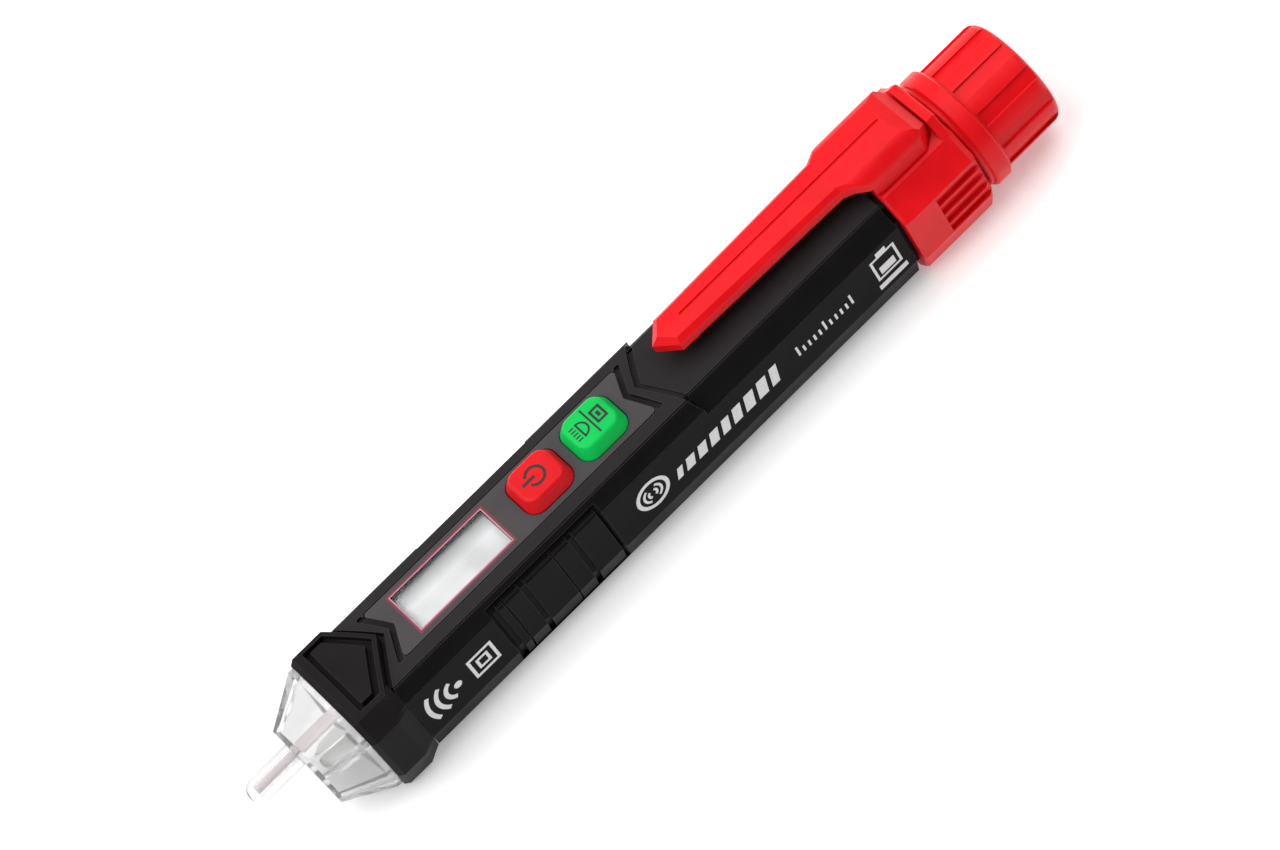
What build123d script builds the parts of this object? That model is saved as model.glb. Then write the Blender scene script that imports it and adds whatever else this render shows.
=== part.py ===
from build123d import *
import os

# Pen-style non-contact voltage tester with display, torch, two keys, pocket clip and screw-off battery cap.
#
# Millimetres. +X runs from the probe tip to the battery cap, +Z is up through the display face, and the
# origin is under the middle of the tester, on the surface that it lies on. Heights and section points are
# measured from the tester's long axis, which lies AXIS_Z above the origin.

# ---- driving dimensions ----------------------------------------
LENGTH = 160.0
AXIS_Z = 10.7
TIP_X = -LENGTH / 2
END_X = LENGTH / 2

WALL = 1.5
NECK_WALL = 1.1
END_WALL = 1.2
FIT = 0.1  # clearance between parts that are assembled together
TOUCH = 0.02  # hairline gap between faces that meet
SEAM = 0.12  # visible joint line between the cover and the tub
CLEAR = 14.0  # reaches past every section, for cutting

# lengthwise stations
LENS_FRONT_X = -70.6
BEZEL_FRONT_X = -61.9
BEZEL_FULL_X = -56.6
BODY_START_X = -54.0
NECK_FRONT_X = -59.6
BODY_END_X = 48.1
NECK_REAR_X = 62.0
COLLAR_FRONT_X = 49.1
COLLAR_REAR_X = 64.0
LIP_X = 64.35
RING_X = (65.2, 68.3)
STEP_X = (2.0, 12.0)  # stretch that holds the chevron step from the front section to the rear one

# cross sections: middle height, top edge, scoop, shoulder, then the points down the right-hand side
BODY_LOWER = [(9.36, -4.3), (7.8, -9.0), (6.8, -9.4)]
FRONT_SECTION = (10.75, (7.45, 9.76), (8.05, 8.5), (9.05, 7.5), [(9.36, 7.15), *BODY_LOWER])
REAR_SECTION = (10.2, (6.6, 9.46), (7.6, 7.55), (9.0, 6.15), [(9.36, 5.8), *BODY_LOWER])
BEZEL_SECTION = (12.0, (8.1, 10.9), (9.4, 8.9), (10.7, 6.95), [(10.7, -4.1), (8.7, -9.9), (7.7, -10.7)])
COLLAR_SECTION = (10.9, (6.9, 10.1), (8.65, 8.05), (10.6, 6.2), [(10.6, -4.0), (8.9, -8.6), (6.6, -10.7)])
LENS_FRONT = (7.0, (4.2, 6.6), (5.2, 5.05), (6.3, 3.6), [(6.3, -2.6), (5.2, -5.7), (4.3, -6.3)])
FRONT_NECK_INSET = 1.3
REAR_NECK_INSET = 1.1

# chevrons on the display face: apex station and how far the arms trail per mm of width
BEZEL_CHEVRON = (-49.9, -0.66)
SHOULDER_CHEVRON = (-48.8, -0.66)
STEP_CHEVRON = (3.3, 0.52)

# display face
FACE_FLOOR_Z = 9.75  # floor of the pocket that takes the face panel
PANEL_HALF = 5.3
PANEL_ENDS = (-49.4, 3.3)
PANEL_NOTCHES = (-46.7, 0.95)
PANEL_CORNER_R = 0.6
PANEL_GAP = 0.2
PANEL_FIT = 0.05
GROOVE = 1.15  # lengthwise width of the grooves along the panel's notches and the step
GROOVE_CORNER_R = 0.35
GROOVE_DROP = 0.2  # how far the notch grooves go below the pocket's floor
STEP_GROOVE_HALF = 7.0
STEP_GROOVE_DEPTH = 0.5
OPENING_Z = 6.0  # openings through the face start below its inner surface

# display
LCD_X = -35.1
LCD_WINDOW = (18.7, 7.8)
LCD_OPENING = (19.8, 9.2)
WINDOW_Z = 9.34
GLASS_SIZE = (18.6, 8.4)
GLASS_Z = (8.25, 9.3)
BACKLIGHT_SIZE = (18.6, 8.0)
BACKLIGHT_Z = (7.3, 8.23)

# keycaps and their switches
BUTTON_XS = {"power": -16.6, "mode": -5.3}
BUTTON_BASE = (9.4, 8.6)
BUTTON_BASE_R = 2.4
BUTTON_TOP = (7.5, 6.6)
BUTTON_TOP_R = 1.9
BUTTON_EDGE_R = 0.75
BUTTON_SHAFT_Z = (8.2, 10.5)
BUTTON_TOP_Z = 12.6
BUTTON_FLANGE = 0.9  # how much wider the retaining flange is
BUTTON_FLANGE_Z = 8.6
BUTTON_WALLS = 2.4  # both walls together
BUTTON_ROOF_Z = 11.2
BUTTON_POST_R = 1.3
SWITCH_HALF = 2.25
SWITCH_TOP_Z = 7.65
SWITCH_WELL_R = 1.0
SWITCH_LEG = (1.4, 0.3, 3.0)  # offset along the board, half width and thickness, reach across the board
PLUNGER_R = 0.9
PLUNGER_Z = (7.4, 8.2)

# finger grip on both sides
GRIP_X = (-36.2, -13.4)
GRIP_Z = (-8.9, 8.4)
GRIP_PADS = [(-34.6, -33.4), (-33.1, -30.05), (-29.0, -23.35), (-23.1, -20.05), (-19.0, -14.2)]
GRIP_RAMP = 0.7
GRIP_DEPTH = 0.75
PAD_DEPTH = 0.15
PAD_MARGINS = (0.3, 0.9)  # below and above the pads
PAD_ROOT = 0.25

# joint between the cover and the tub
COVER_HALF_FRONT = 7.4
COVER_HALF_REAR = 6.55
COVER_JOG_X = STEP_CHEVRON[0] + STEP_CHEVRON[1] * COVER_HALF_FRONT
COVER_BOTTOM = 7.7
COVER_RIB_XS = (-46, -24, 16, 42)
COVER_RIB = (5.0, 1.1, 1.9)  # length, then its two faces' distances in from the cover's edge
COVER_RIB_RISE = 1.2

# circuit board
PCB_BOTTOM = 5.8
PCB_TOP = 6.8
PCB_X = (-57.0, 4.5)
PCB_HALF = 6.2
LEDGE_X = (-51.0, -3.0)
LEDGE_Y = (5.6, 8.2)
LEDGE_THICK = 1.0
SCREW_XS = (-50.5, -23.4)
BOSS_R = 2.2
BOSS_BOTTOM_Z = -8.6
PILOT_R = 0.8
PILOT_BOTTOM_Z = -1.0
SCREW_R = 0.78
SCREW_HOLE_R = 1.0
SCREW_TIP_Z = 1.0
SCREW_HEAD = (1.6, 0.85)  # radius and height
SCREW_CROSS = (0.95, 0.18, 0.4)  # half length, half width, height of its floor over the board
CHIP_XS = (-55.2, -53.4, -46.6)
CHIP_YS = (-4.8, -1.6, 1.6, 4.8)
CHIP = (0.5, 0.4, 0.5)  # half length, half width, height
ALARM_LED_X = (-56.9, -56.1)
ALARM_LED_YS = (-2.4, 0.8)
ALARM_LED = (0.8, 0.9)  # half width, height

# front bezel
BEZEL_LIP = (0.8, 0.55)  # length and drop of its front chamfer
BEZEL_HALF = 8.1
BEZEL_TONGUE_X = -59.0
BEZEL_RECESS = (-59.6, 7.3, 0.85)  # front edge, half width, distance behind the tongue's edge
BEZEL_RECESS_DEPTH = 1.3
BEZEL_PAD = (-58.6, 6.4, 2.35)
BEZEL_PAD_DROP = 0.08

# sensor, lens and torch
PROBE_Z = 4.4
PROBE_R = 2.15
ANTENNA_HALF = 0.65
ANTENNA_HEAD_HALF = 1.05
ANTENNA_RISE = 0.3  # half its thickness
ANTENNA_TIP_X = TIP_X + 1.75
ANTENNA_HEAD_X = -69.2
ANTENNA_REAR_X = -55.0
LENS_REAR_INSET = 0.95
LENS_RIM = 0.9
LENS_WALLS = (1.3, 3.3)  # at the front and at the rear
REFLECTOR_X = (-61.4, -60.4)
TORCH_Z = -2.4
TORCH_R = 2.5
TORCH_X = (-65.6, -60.4, -59.6)  # dome, rim front, rim rear
TORCH_RIM = 0.35
LEG_HALF = 0.25
LEG_YS = (-1.27, 1.27)
LEG_REAR_X = -56.0

# rear collar
COLLAR_CHAMFERS = (0.4, 1.0, 0.9)  # front, then the rear one's length and drop
RIM_X = (61.9, 63.6)
RIM_OUTLINE = [(8.6, 6.0), (7.0, 10.0), (4.4, 13.3)]
RIM_CHAMFER = 0.3
RIB_POCKET_X = 55.1
RIB_POCKET_Y = 9.95
RIB_POCKET_Z = (-3.8, 5.5)
RIB_ZS = (3.3, 0.75, -1.8)
RIB_HALF = 0.28

# pocket clip: the right-hand half of its outline, from the point to the back of its root block
CLIP_OUTLINE = [(9.1, 0), (12.1, 3.25), (44.9, 3.96), (48.4, 5.7), (50.6, 6.2), (59.2, 6.2), (61.4, 4.4)]
CLIP_ROOT_X = 48.8
CLIP_TOP_Z = 16.25
CLIP_EDGE = 1.2
CLIP_RIDGE_Z = 16.15
CLIP_ROOF_Z = 15.75
CLIP_ROOF_SIDE = [(3.9, CLIP_ROOF_Z), (5.75, 14.2), (6.3, 11.6)]
CLIP_BACK_SLOPE = [(57.4, 15.95), (59.6, 15.1), (61.5, 13.3)]
CLIP_UNDER_Z = 13.4
CLIP_UNDER = [(46.6, CLIP_UNDER_Z), (49.1, 12.2)]
CLIP_SEAT_Z = 10.05
CLIP_SEAT_PLAY = 0.25
CLIP_CHANNEL = [(17.6, 1.93), (44.0, 2.4), (52.0, 3.2)]
CLIP_CHANNEL_Z = 14.3
CLIP_GROOVE_X = (15.2, 57.0)
CLIP_GROOVE = (0.62, 0.35)  # width and depth
NIB_OUTLINE = [(13.2, 13.4), (14.6, 10.6), (15.6, 10.6), (17.0, 13.4)]
NIB_HALF = 1.6
TONGUE_X = (56.0, 59.5)
TONGUE_HALF = 2.5
TONGUE_BOTTOM_Z = 8.4

# battery cap, its screw thread and its seal
KNOB_R = 9.84
KNOB_EDGE_R = 1.7
RING_R = 10.7
RING_CHAMFER = 0.35
LIP_R = 9.95
LIP_CHAMFER = 0.25
CAP_WALL = 2.0
CAP_BORE_R = 7.5
CAP_MOUTH_R = 9.45
SPIGOT_END_X = 70.4
THREAD_START_X = COLLAR_REAR_X + 1.6
THREAD_LENGTH = 3.4
THREAD_PITCH = 2.5
THREAD_ROOT_R = 7.75
THREAD_DEPTH = 0.55
THREAD_PLAY = 0.15
THREAD_BASE = (0.5, 0.27, 0.12)  # half width at the root and at the crest, then how deep it is rooted
FLUTES = 12
FLUTE = (10.9, 2.46, 0.52)  # length, width, depth
FLUTE_TURN = 16  # degrees from +Z to the first flute
SEAL_R = THREAD_ROOT_R + THREAD_DEPTH + 0.6
SEAL_WIRE_R = 0.45
CUP_R = 7.4
CUP_FRONT_X = 70.8
CUP_THICK = 0.35
SPRING_LENGTH = 5.8
SPRING_TURNS = 4.5
SPRING_R = 3.0
SPRING_WIRE_R = 0.35

# AAA cells, their cradle and contacts
CELL_R = 5.2
CELL_CAN = 43.5
CELL_EDGE = 0.3
CELL_NUB_R = 1.9
CELL_NUB = 1.0
CELL_LENGTH = CELL_CAN + CELL_NUB
CELL_FRONT_X = -18.0  # front end of the front cell's positive nub
CELL_REAR_X = CELL_FRONT_X + 2 * CELL_LENGTH
CELL_BORE_R = 5.6
CRADLE_R = 6.3
CRADLE_TOP_Z = 2.5
CRADLE_X = (CELL_FRONT_X - 1.5, NECK_REAR_X - 0.4)
RAIL_END_X = 45.0
RAIL_Y = (3.4, 4.6)
RAIL_Z = (-7.85, -3.0)
CONTACT_R = 3.6
CONTACT_THICK = 0.4
CONTACT_TAB_HALF = 1.2
STRAP_X = (-1.5, 1.0)  # width of its riser at the board
STRAP_Y = (6.55, 6.85)
STRAP_HALF = 1.2
STRAP_THICK = 0.3
STRAP_TAB_Y = 5.4
TAIL_RING_R = (7.4, 5.9)
TAIL_RING_X = (SPIGOT_END_X + 0.05, SPIGOT_END_X + 0.35)


# ---- drawing helpers ----------------------------------------
def square_plane(x):
    """Plane square to the tester at x, with local X along the width and local Y up, centred on the axis."""
    return Plane(origin=(x, 0, AXIS_Z), x_dir=(0, 1, 0), z_dir=(1, 0, 0))


def section_face(section, inset=0.0):
    """Closed cross section: a crowned top, scooped shoulders, then straight sides and foot."""
    crown, edge, scoop, shoulder, lower = section
    right = [shoulder, *lower]
    left = [(-y, z) for y, z in reversed(right)]
    outline = [
        ThreePointArc((-edge[0], edge[1]), (0, crown), edge),
        ThreePointArc(edge, scoop, shoulder),
        Polyline(*right, *left),
        ThreePointArc(left[-1], (-scoop[0], scoop[1]), (-edge[0], edge[1])),
    ]
    face = make_face(outline)
    return offset(face, amount=-inset, kind=Kind.INTERSECTION) if inset else face


def prism(face, x0, x1):
    """A face drawn around the axis, extruded from x0 to x1."""
    return extrude(square_plane(x0) * face, amount=x1 - x0)


def between(face_a, x_a, face_b, x_b):
    """Straight-sided loft from one cross section to another."""
    return loft([square_plane(x_a) * face_a, square_plane(x_b) * face_b], ruled=True)


def block(x, y, z):
    """Box from (low, high) pairs; z is measured from the axis."""
    size = [high - low for low, high in (x, y, z)]
    centre = ((x[0] + x[1]) / 2, (y[0] + y[1]) / 2, AXIS_Z + (z[0] + z[1]) / 2)
    return Pos(*centre) * Box(*size)


def centred(x, half_x, half_y, z0, z1):
    """Box centred on x and on the middle plane."""
    return block((x - half_x, x + half_x), (-half_y, half_y), (z0, z1))


def plan(points, z0, z1):
    """Prism of a plan-view outline, between two heights above the axis."""
    face = make_face(Polyline(*points, close=True))
    return extrude(Pos(0, 0, AXIS_Z + z0) * face, amount=z1 - z0)


def rounded_plan(x, size, radius, z0, z1):
    """Prism of a rounded rectangle in plan view, centred on x."""
    return extrude(Pos(x, 0, AXIS_Z + z0) * RectangleRounded(size[0], size[1], radius), amount=z1 - z0)


def profile(points, half):
    """Prism of a side-view outline, as wide as half on both sides of the middle plane."""
    face = Plane.XZ * Pos(0, AXIS_Z) * make_face(Polyline(*points, close=True))
    return extrude(face, amount=half, both=True)


def disc(x0, x1, radius, z=0.0):
    """Cylinder along X."""
    return extrude(square_plane(x0) * Pos(0, z) * Circle(radius), amount=x1 - x0)


def tube(x0, x1, outer, inner):
    """Round tube along the axis."""
    return extrude(square_plane(x0) * (Circle(outer) - Circle(inner)), amount=x1 - x0)


def post(x, radius, z0, z1):
    """Upright cylinder on the middle plane."""
    return extrude(Pos(x, 0, AXIS_Z + z0) * Circle(radius), amount=z1 - z0)


def on_side(side, near, far):
    """Low and high Y of something between two distances from the middle plane, on one side (1 or -1)."""
    return sorted((side * near, side * far))


def mirrored(points):
    """A plan outline from its right-hand half."""
    return points + [(x, -y) for x, y in reversed(points) if y]


def grown(size, amount):
    """A (length, width) pair, larger by an amount."""
    return [side + amount for side in size]


def behind(chevron):
    """Everything on the cap's side of a chevron line."""
    apex, slope = chevron
    arm_x = apex + slope * CLEAR
    return plan([(apex, 0), (arm_x, CLEAR), (END_X, CLEAR), (END_X, -CLEAR), (arm_x, -CLEAR)], -CLEAR, CLEAR)


def arrow(front_x, half, shift, z0, z1):
    """Plan prism of an arrow head that follows the bezel's chevron, set back from it by shift."""
    apex, slope = BEZEL_CHEVRON
    return plan(mirrored([(front_x, half), (apex - shift + slope * half, half), (apex - shift, 0)]), z0, z1)


def chevron_strip(apex, slope, half, z0, width=GROOVE):
    """V-shaped strip of constant width, which follows a chevron from one side of the face to the other."""
    arm_x = apex + slope * half
    points = [(apex, 0), (arm_x, half), (arm_x + width, half), (apex + width, 0), (arm_x + width, -half)]
    face = fillet(make_face(Polyline(*points, (arm_x, -half), close=True)).vertices(), GROOVE_CORNER_R)
    return extrude(Pos(0, 0, AXIS_Z + z0) * face, amount=CLEAR - z0)


def keep(shape, node):
    """Writes one node's STEP file."""
    shape = shape if isinstance(shape, Compound) else Part() + shape
    shape.label = node
    export_step(shape, f"parts/{node}.step")


# ---- housing: tub and cover ----------------------------------------
def housing_outer():
    """Both housing halves as one solid block with its necks, step and grip pads."""
    front = section_face(FRONT_SECTION)
    rear = section_face(REAR_SECTION)
    step = behind(STEP_CHEVRON)
    body = prism(front, BODY_START_X, STEP_X[1]) & behind(SHOULDER_CHEVRON)
    body = body - step + (prism(rear, STEP_X[0], BODY_END_X) & step)
    skin = prism(rear, 0, STEP_X[1]) - prism(section_face(REAR_SECTION, STEP_GROOVE_DEPTH), -1, STEP_X[1] + 1)
    body = body - (chevron_strip(*STEP_CHEVRON, STEP_GROOVE_HALF, OPENING_Z) & skin)
    front_neck = prism(section_face(FRONT_SECTION, FRONT_NECK_INSET), NECK_FRONT_X, BODY_START_X + 6)
    rear_neck = prism(section_face(REAR_SECTION, REAR_NECK_INSET), BODY_END_X - 1, NECK_REAR_X)
    return grip(body) + front_neck + rear_neck


def grip(body):
    """Recesses the finger grip in both sides and stands its pads back up."""
    full = section_face(FRONT_SECTION)
    base = section_face(FRONT_SECTION, GRIP_DEPTH)
    x0, x1 = GRIP_X
    ramps = between(full, x0, base, x0 + GRIP_RAMP) + between(base, x1 - GRIP_RAMP, full, x1)
    core = ramps + prism(base, x0 + GRIP_RAMP, x1 - GRIP_RAMP)
    window = block((x0 - 1, x1 + 1), (-CLEAR, CLEAR), GRIP_Z)
    body = body - ((prism(full, x0, x1) - core) & window)
    pad_face = section_face(FRONT_SECTION, PAD_DEPTH)
    root_face = section_face(FRONT_SECTION, GRIP_DEPTH + PAD_ROOT)
    pad_z = (GRIP_Z[0] + PAD_MARGINS[0], GRIP_Z[1] - PAD_MARGINS[1])
    for low, high in GRIP_PADS:
        skin = prism(pad_face, low, high) - prism(root_face, low - 1, high + 1)
        body = body + (skin & block((low - 1, high + 1), (-CLEAR, CLEAR), pad_z))
    return body


def housing_cavity():
    """The space inside the housing."""
    step_x = 7.0
    front = prism(section_face(FRONT_SECTION, WALL), BODY_START_X + END_WALL, step_x)
    rear = prism(section_face(REAR_SECTION, WALL), step_x - 0.5, BODY_END_X - END_WALL)
    neck_face = section_face(FRONT_SECTION, FRONT_NECK_INSET + NECK_WALL)
    front_neck = prism(neck_face, NECK_FRONT_X - 1, BODY_START_X + 2)
    neck_face = section_face(REAR_SECTION, REAR_NECK_INSET + NECK_WALL)
    rear_neck = prism(neck_face, BODY_END_X - 2, NECK_REAR_X + 1)
    return front + rear + front_neck + rear_neck


def cover_zone(grow=0.0):
    """Plan prism that divides the cover from the tub."""
    half_front, half_rear, jog = COVER_HALF_FRONT + grow, COVER_HALF_REAR + grow, COVER_JOG_X + grow
    front_half = [(NECK_FRONT_X - 2, half_front), (jog, half_front)]
    rear_half = [(jog, half_rear), (NECK_REAR_X + 2, half_rear)]
    return plan(mirrored(front_half + rear_half), COVER_BOTTOM, CLEAR)


def panel_plan(z0, grow=0.0):
    """Prism of the face panel's outline: a strip with rounded corners and a chevron notch in each end."""
    points = []
    for end, notch, side in ((PANEL_ENDS[1], PANEL_NOTCHES[1], 1), (PANEL_ENDS[0], PANEL_NOTCHES[0], -1)):
        points += [(end, side * PANEL_HALF), (notch, 0), (end, -side * PANEL_HALF)]
    face = fillet(make_face(Polyline(*points, close=True)).vertices(), PANEL_CORNER_R)
    face = offset(face, amount=grow, kind=Kind.ARC) if grow else face
    return extrude(Pos(0, 0, AXIS_Z + z0) * face, amount=CLEAR - z0)


def button_hole(x, play=0.15):
    """Hole for a keycap's shaft."""
    size = grown(BUTTON_BASE, 2 * play)
    return rounded_plan(x, size, BUTTON_BASE_R + play, OPENING_Z, CLEAR)


def tongue_block(play, z0, z1):
    """Box around the clip's tongue."""
    half = TONGUE_HALF + play
    return block((TONGUE_X[0] - play, TONGUE_X[1] + play), (-half, half), (z0, z1))


def make_cover(outer, cavity):
    """Upper housing: the crowned display face with its pocket, openings and locating ribs."""
    cover = (outer & cover_zone()) - cavity
    cover = cover - panel_plan(FACE_FLOOR_Z, PANEL_GAP)
    for end, notch, width in zip(PANEL_ENDS, PANEL_NOTCHES, (-GROOVE, GROOVE)):
        slope = (end - notch) / PANEL_HALF
        half = PANEL_HALF + PANEL_GAP
        cover = cover - chevron_strip(notch, slope, half, FACE_FLOOR_Z - GROOVE_DROP, width)
    cover = cover - centred(LCD_X, LCD_OPENING[0] / 2, LCD_OPENING[1] / 2, OPENING_Z, CLEAR)
    for x in BUTTON_XS.values():
        cover = cover - button_hole(x)
    cover = cover - tongue_block(4 * FIT, TONGUE_BOTTOM_Z - 0.15, CLEAR)
    length, near, far = COVER_RIB
    for x in COVER_RIB_XS:
        edge = COVER_HALF_FRONT if x < COVER_JOG_X else COVER_HALF_REAR
        for side in (-1, 1):
            rib_x = (x - length / 2, x + length / 2)
            rib_z = (PCB_TOP + FIT, COVER_BOTTOM + COVER_RIB_RISE)
            cover = cover + block(rib_x, on_side(side, edge - far, edge - near), rib_z)
    return cover


def make_tub(outer, cavity):
    """Lower housing: floor, side walls with the grip, board ledges and screw bosses."""
    tub = outer - cover_zone(SEAM) - cavity
    for side in (-1, 1):
        tub = tub + block(LEDGE_X, on_side(side, *LEDGE_Y), (PCB_BOTTOM - LEDGE_THICK, PCB_BOTTOM))
    for x in SCREW_XS:
        tub = tub + post(x, BOSS_R, BOSS_BOTTOM_Z, PCB_BOTTOM)
        tub = tub - post(x, PILOT_R, PILOT_BOTTOM_Z, PCB_BOTTOM + 1)
    return tub


# ---- face panel, display and keys ----------------------------------------
def crown_trim(drop):
    """Solid under the crowned face, lowered by drop."""
    return prism(section_face(FRONT_SECTION, drop), NECK_FRONT_X, STEP_X[1])


def make_panel():
    """Inlaid face panel with openings for the display window and the keycaps."""
    panel = panel_plan(FACE_FLOOR_Z + TOUCH) & crown_trim(0.03)
    window_x, window_y = [side / 2 + PANEL_FIT for side in LCD_WINDOW]
    panel = panel - centred(LCD_X, window_x, window_y, OPENING_Z, CLEAR)
    for x in BUTTON_XS.values():
        panel = panel - button_hole(x)
    return panel


def make_window():
    """Clear display window, a little below the panel's surface."""
    slab = centred(LCD_X, LCD_WINDOW[0] / 2, LCD_WINDOW[1] / 2, WINDOW_Z, CLEAR)
    return slab & crown_trim(0.08)


def make_display_layer(size, z):
    """Flat layer of the display, under its window."""
    return centred(LCD_X, size[0] / 2, size[1] / 2, *z)


def make_keycap(x):
    """Hollow keycap with a retaining flange under the cover and a post that presses its switch."""
    bottom, shaft_top = BUTTON_SHAFT_Z
    foot = Pos(x, 0, AXIS_Z + shaft_top) * RectangleRounded(*BUTTON_BASE, BUTTON_BASE_R)
    crown = Pos(x, 0, AXIS_Z + BUTTON_TOP_Z) * RectangleRounded(*BUTTON_TOP, BUTTON_TOP_R)
    cap = rounded_plan(x, BUTTON_BASE, BUTTON_BASE_R, bottom, shaft_top) + loft([foot, crown])
    cap = fillet(cap.faces().sort_by(Axis.Z)[-1].edges(), BUTTON_EDGE_R)
    flange_r = BUTTON_BASE_R + BUTTON_FLANGE / 2
    flange = rounded_plan(x, grown(BUTTON_BASE, BUTTON_FLANGE), flange_r, bottom, BUTTON_FLANGE_Z)
    hollow_r = BUTTON_BASE_R - BUTTON_WALLS / 2
    hollow = rounded_plan(x, grown(BUTTON_BASE, -BUTTON_WALLS), hollow_r, bottom - 1, BUTTON_ROOF_Z)
    return cap + flange - hollow + post(x, BUTTON_POST_R, bottom, BUTTON_ROOF_Z + 0.2)


def make_switch(x):
    """Tactile switch body with a well for its plunger and four solder legs."""
    body = centred(x, SWITCH_HALF, SWITCH_HALF, PCB_TOP, SWITCH_TOP_Z)
    body = body - post(x, SWITCH_WELL_R, PCB_TOP + PANEL_FIT, SWITCH_TOP_Z + 1)
    offset_x, thick, reach = SWITCH_LEG
    for leg_x in (x - offset_x, x + offset_x):
        for side in (-1, 1):
            leg_y = on_side(side, SWITCH_HALF, reach)
            body = body + block((leg_x - thick, leg_x + thick), leg_y, (PCB_TOP, PCB_TOP + thick))
    return body


def make_plunger(x):
    """Switch plunger that the keycap's post rests on."""
    return post(x, PLUNGER_R, *PLUNGER_Z)


# ---- front end ----------------------------------------
def make_bezel():
    """Front bezel ring with its chevron tongue, recess and arrow pad."""
    full = section_face(BEZEL_SECTION)
    lip_length, lip_drop = BEZEL_LIP
    lip_x = BEZEL_FRONT_X + lip_length
    ring = between(section_face(BEZEL_SECTION, lip_drop), BEZEL_FRONT_X, full, lip_x)
    ring = ring + prism(full, lip_x, BEZEL_FULL_X)
    ring = ring + between(full, BEZEL_FULL_X, section_face(FRONT_SECTION, -TOUCH), BODY_START_X - FIT)
    over_face = prism(full, NECK_FRONT_X - 0.4, BEZEL_CHEVRON[0] + 1)
    ring = ring + (arrow(BEZEL_TONGUE_X, BEZEL_HALF, 0, FACE_FLOOR_Z - 0.75, CLEAR) & over_face)
    skin = over_face - prism(section_face(BEZEL_SECTION, BEZEL_RECESS_DEPTH), -61, -47)
    ring = ring - (arrow(*BEZEL_RECESS, FACE_FLOOR_Z - 0.75, CLEAR) & skin)
    pad_top = prism(section_face(BEZEL_SECTION, BEZEL_PAD_DROP), -60, -48)
    ring = ring + (arrow(*BEZEL_PAD, FACE_FLOOR_Z + 0.45, CLEAR) & pad_top)
    return ring - prism(section_face(FRONT_SECTION, FRONT_NECK_INSET - FIT), BEZEL_FRONT_X - 1, -48)


def make_lens():
    """Clear faceted lens with the probe sleeve and the spigot that plugs into the bezel."""
    rear = section_face(BEZEL_SECTION, LENS_REAR_INSET)
    rear_x = BEZEL_FRONT_X - TOUCH
    shell = between(section_face(LENS_FRONT), LENS_FRONT_X, rear, rear_x - LENS_RIM)
    shell = shell + prism(rear, rear_x - LENS_RIM, rear_x)
    sleeve = disc(TIP_X + PROBE_R, LENS_FRONT_X + 1.0, PROBE_R, PROBE_Z)
    dome = Pos(TIP_X + PROBE_R, 0, AXIS_Z + PROBE_Z) * Sphere(PROBE_R)
    spigot = prism(section_face(FRONT_SECTION, FRONT_NECK_INSET), rear_x, NECK_FRONT_X - PANEL_FIT)
    front_hollow = section_face(LENS_FRONT, LENS_WALLS[0])
    rear_hollow = section_face(BEZEL_SECTION, LENS_WALLS[1])
    hollow = between(front_hollow, LENS_FRONT_X + NECK_WALL, rear_hollow, rear_x)
    spigot_bore = section_face(FRONT_SECTION, FRONT_NECK_INSET + NECK_WALL)
    hollow = hollow + prism(spigot_bore, rear_x - 0.01, NECK_FRONT_X + 1)
    slot_half = ANTENNA_HALF + FIT
    slot_z = (PROBE_Z - ANTENNA_RISE - FIT, PROBE_Z + ANTENNA_RISE + FIT)
    channel = block((ANTENNA_TIP_X - 0.15, LENS_FRONT_X + 2.0), (-slot_half, slot_half), slot_z)
    return shell + sleeve + dome + spigot - hollow - channel


def make_reflector():
    """White bulkhead behind the lens that holds the torch LED and guides the antenna."""
    cut = (REFLECTOR_X[0] - 1, REFLECTOR_X[1] + 1)
    plate = prism(section_face(FRONT_SECTION, FRONT_NECK_INSET + NECK_WALL + FIT), *REFLECTOR_X)
    plate = plate - disc(*cut, TORCH_R + PANEL_FIT, TORCH_Z)
    slot = ANTENNA_HEAD_HALF + 0.25
    return plate - block(cut, (-slot, slot), (PROBE_Z - 0.55, PROBE_Z + 0.55))


def make_antenna():
    """Flat sensing strip from the tip of the sleeve back to the board."""
    z = (PROBE_Z - ANTENNA_RISE, PROBE_Z + ANTENNA_RISE)
    head_y = (-ANTENNA_HEAD_HALF, ANTENNA_HEAD_HALF)
    strip = block((ANTENNA_TIP_X, ANTENNA_HEAD_X + 0.2), (-ANTENNA_HALF, ANTENNA_HALF), z)
    strip = strip + block((ANTENNA_HEAD_X, ANTENNA_REAR_X), head_y, z)
    return strip + block((ANTENNA_REAR_X - 0.6, ANTENNA_REAR_X), head_y, (PROBE_Z, PCB_BOTTOM))


def make_torch():
    """Torch LED: epoxy body with domed end and rim."""
    dome_x, rim_front, rim_rear = TORCH_X
    dome = Pos(dome_x, 0, AXIS_Z + TORCH_Z) * Sphere(TORCH_R)
    rim = disc(rim_front, rim_rear, TORCH_R + TORCH_RIM, TORCH_Z)
    return disc(dome_x, rim_front, TORCH_R, TORCH_Z) + dome + rim


def make_torch_legs():
    """The torch LED's two bent legs, up to the board."""
    legs = []
    for y in LEG_YS:
        leg_y = (y - LEG_HALF, y + LEG_HALF)
        leg = block((TORCH_X[2], LEG_REAR_X), leg_y, (TORCH_Z - LEG_HALF, TORCH_Z + LEG_HALF))
        legs.append(leg + block((LEG_REAR_X - 2 * LEG_HALF, LEG_REAR_X), leg_y, (TORCH_Z, PROBE_Z - 0.6)))
    return Compound(children=legs)


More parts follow.
